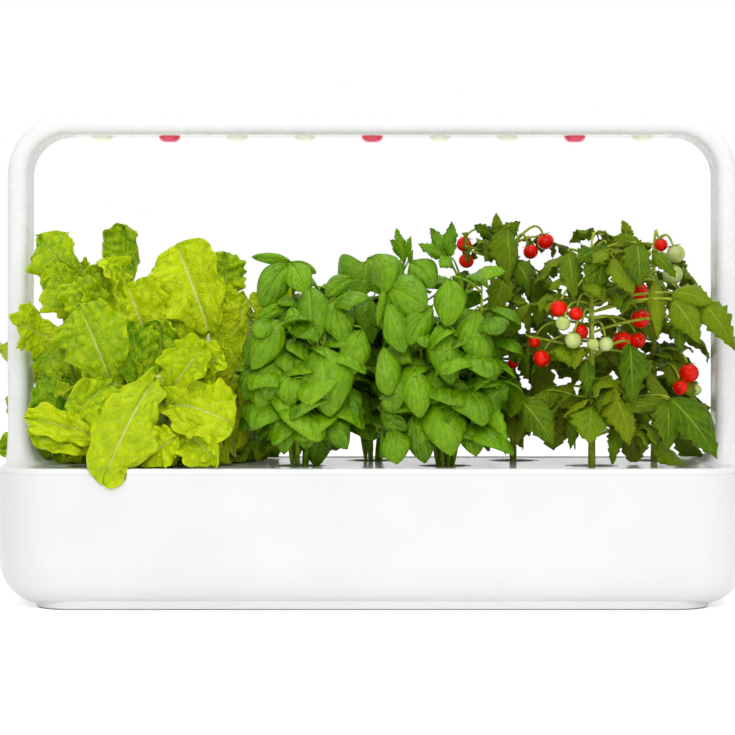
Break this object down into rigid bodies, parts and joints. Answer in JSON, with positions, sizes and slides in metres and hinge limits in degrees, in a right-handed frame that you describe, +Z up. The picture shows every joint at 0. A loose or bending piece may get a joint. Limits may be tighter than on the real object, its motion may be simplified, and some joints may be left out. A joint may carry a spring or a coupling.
{
  "type": "countertop hydroponic garden",
  "caption": "Countertop hydroponic garden: rounded white water tank and lid with two rows of planted pods under an arched LED lamp.",
  "frame": {"origin": "centre of the flat underside of the foot pad, on the surface the garden stands on", "axes": "+Z up, +X along the long side to the right, -Y towards the front"},
  "size_m": [0.62, 0.1872, 0.4116],
  "materials": {
    "body_plastic": "fine satin moulded white",
    "arm_plastic": "smooth white",
    "lamp_cover": "smooth white",
    "foot_rubber": "soft light grey",
    "screw_steel": "bright zinc",
    "circuit_board": "green laminate",
    "led_board": "white coated aluminium",
    "inlet_plastic": "black",
    "switch_plastic": "black",
    "button_plastic": "satin white",
    "float_foam": "closed foam",
    "float_indicator": "white",
    "contact_metal": "bright",
    "lead_jacket": "black jacket",
    "lens_clear": "clear, faintly green",
    "lens_red": "clear red",
    "led_white": "phosphor",
    "led_red": "red emitter",
    "pod_cup": "white moulded",
    "grow_plug": "dark crumbly growing medium",
    "lettuce_leaf": "soft waxy leaf",
    "basil_leaf": "glossy leaf",
    "tomato_leaf": "soft hairy leaf",
    "tomato_fruit": "shiny ripe skin",
    "green_fruit": "pale unripe skin"
  },
  "bodies": {
    "tank": {"tank_shell": "body_plastic", "foot_pad": "foot_rubber"},
    "lid": {"lid_deck": "body_plastic", "control_housing": "body_plastic", "control_cover": "body_plastic", "control_board": "circuit_board", "control_screws": "screw_steel", "power_inlet": "inlet_plastic", "push_switch": "switch_plastic", "lid_contacts": "contact_metal", "lamp_lead": "lead_jacket"},
    "button": {"button_cap": "button_plastic"},
    "float": {"float_body": "float_foam", "float_indicator": "float_indicator"},
    "extension_arms": {"left_extension_arm": "arm_plastic", "right_extension_arm": "arm_plastic", "extension_contacts": "contact_metal", "extension_lead": "lead_jacket"},
    "lamp_arch": {"arch_shell": "arm_plastic", "arch_cover": "lamp_cover", "arch_screws": "screw_steel", "arch_contacts": "contact_metal", "arch_lead": "lead_jacket", "led_board": "led_board", "led_chips_white": "led_white", "led_chips_red": "led_red", "lenses_clear": "lens_clear", "lenses_red": "lens_red"},
    "pod_1": {"pod_cup_1": "pod_cup", "grow_plug_1": "grow_plug", "lettuce_1": "lettuce_leaf"},
    "pod_2": {"pod_cup_2": "pod_cup", "grow_plug_2": "grow_plug", "lettuce_2": "lettuce_leaf"},
    "pod_3": {"pod_cup_3": "pod_cup", "grow_plug_3": "grow_plug", "lettuce_3": "lettuce_leaf"},
    "pod_4": {"pod_cup_4": "pod_cup", "grow_plug_4": "grow_plug", "basil_4": "basil_leaf"},
    "pod_5": {"pod_cup_5": "pod_cup", "grow_plug_5": "grow_plug", "basil_5": "basil_leaf"},
    "pod_6": {"pod_cup_6": "pod_cup", "grow_plug_6": "grow_plug", "basil_6": "basil_leaf"},
    "pod_7": {"pod_cup_7": "pod_cup", "grow_plug_7": "grow_plug", "tomato_7": "tomato_leaf", "tomato_fruit_7": "tomato_fruit"},
    "pod_8": {"pod_cup_8": "pod_cup", "grow_plug_8": "grow_plug", "tomato_8": "tomato_leaf", "tomato_fruit_8": "tomato_fruit", "green_fruit_8": "green_fruit"},
    "pod_9": {"pod_cup_9": "pod_cup", "grow_plug_9": "grow_plug", "tomato_9": "tomato_leaf", "tomato_fruit_9": "tomato_fruit", "green_fruit_9": "green_fruit"}
  },
  "joints": [
    {"name": "lid_lift", "type": "slide", "parent": "tank", "child": "lid", "axis": [0, 0, 1], "range_m": [0, 0.09]},
    {"name": "extension_lift", "type": "slide", "parent": "lid", "child": "extension_arms", "axis": [0, 0, 1], "range_m": [0, 0.032]},
    {"name": "arch_lift", "type": "slide", "parent": "extension_arms", "child": "lamp_arch", "axis": [0, 0, 1], "range_m": [0, 0.032]},
    {"name": "button_press", "type": "slide", "parent": "lid", "child": "button", "axis": [0, -1, 0], "range_m": [0, 0.0014], "stiffness_N_per_m": 800, "springref_m": -0.0006},
    {"name": "float_rise", "type": "slide", "parent": "lid", "child": "float", "axis": [0, 0, 1], "range_m": [0, 0.018]},
    {"name": "pod_1_lift", "type": "slide", "parent": "lid", "child": "pod_1", "axis": [0, 0, 1], "range_m": [0, 0.048]},
    {"name": "pod_2_lift", "type": "slide", "parent": "lid", "child": "pod_2", "axis": [0, 0, 1], "range_m": [0, 0.048]},
    {"name": "pod_3_lift", "type": "slide", "parent": "lid", "child": "pod_3", "axis": [0, 0, 1], "range_m": [0, 0.048]},
    {"name": "pod_4_lift", "type": "slide", "parent": "lid", "child": "pod_4", "axis": [0, 0, 1], "range_m": [0, 0.048]},
    {"name": "pod_5_lift", "type": "slide", "parent": "lid", "child": "pod_5", "axis": [0, 0, 1], "range_m": [0, 0.048]},
    {"name": "pod_6_lift", "type": "slide", "parent": "lid", "child": "pod_6", "axis": [0, 0, 1], "range_m": [0, 0.048]},
    {"name": "pod_7_lift", "type": "slide", "parent": "lid", "child": "pod_7", "axis": [0, 0, 1], "range_m": [0, 0.048]},
    {"name": "pod_8_lift", "type": "slide", "parent": "lid", "child": "pod_8", "axis": [0, 0, 1], "range_m": [0, 0.048]},
    {"name": "pod_9_lift", "type": "slide", "parent": "lid", "child": "pod_9", "axis": [0, 0, 1], "range_m": [0, 0.048]}
  ]
}
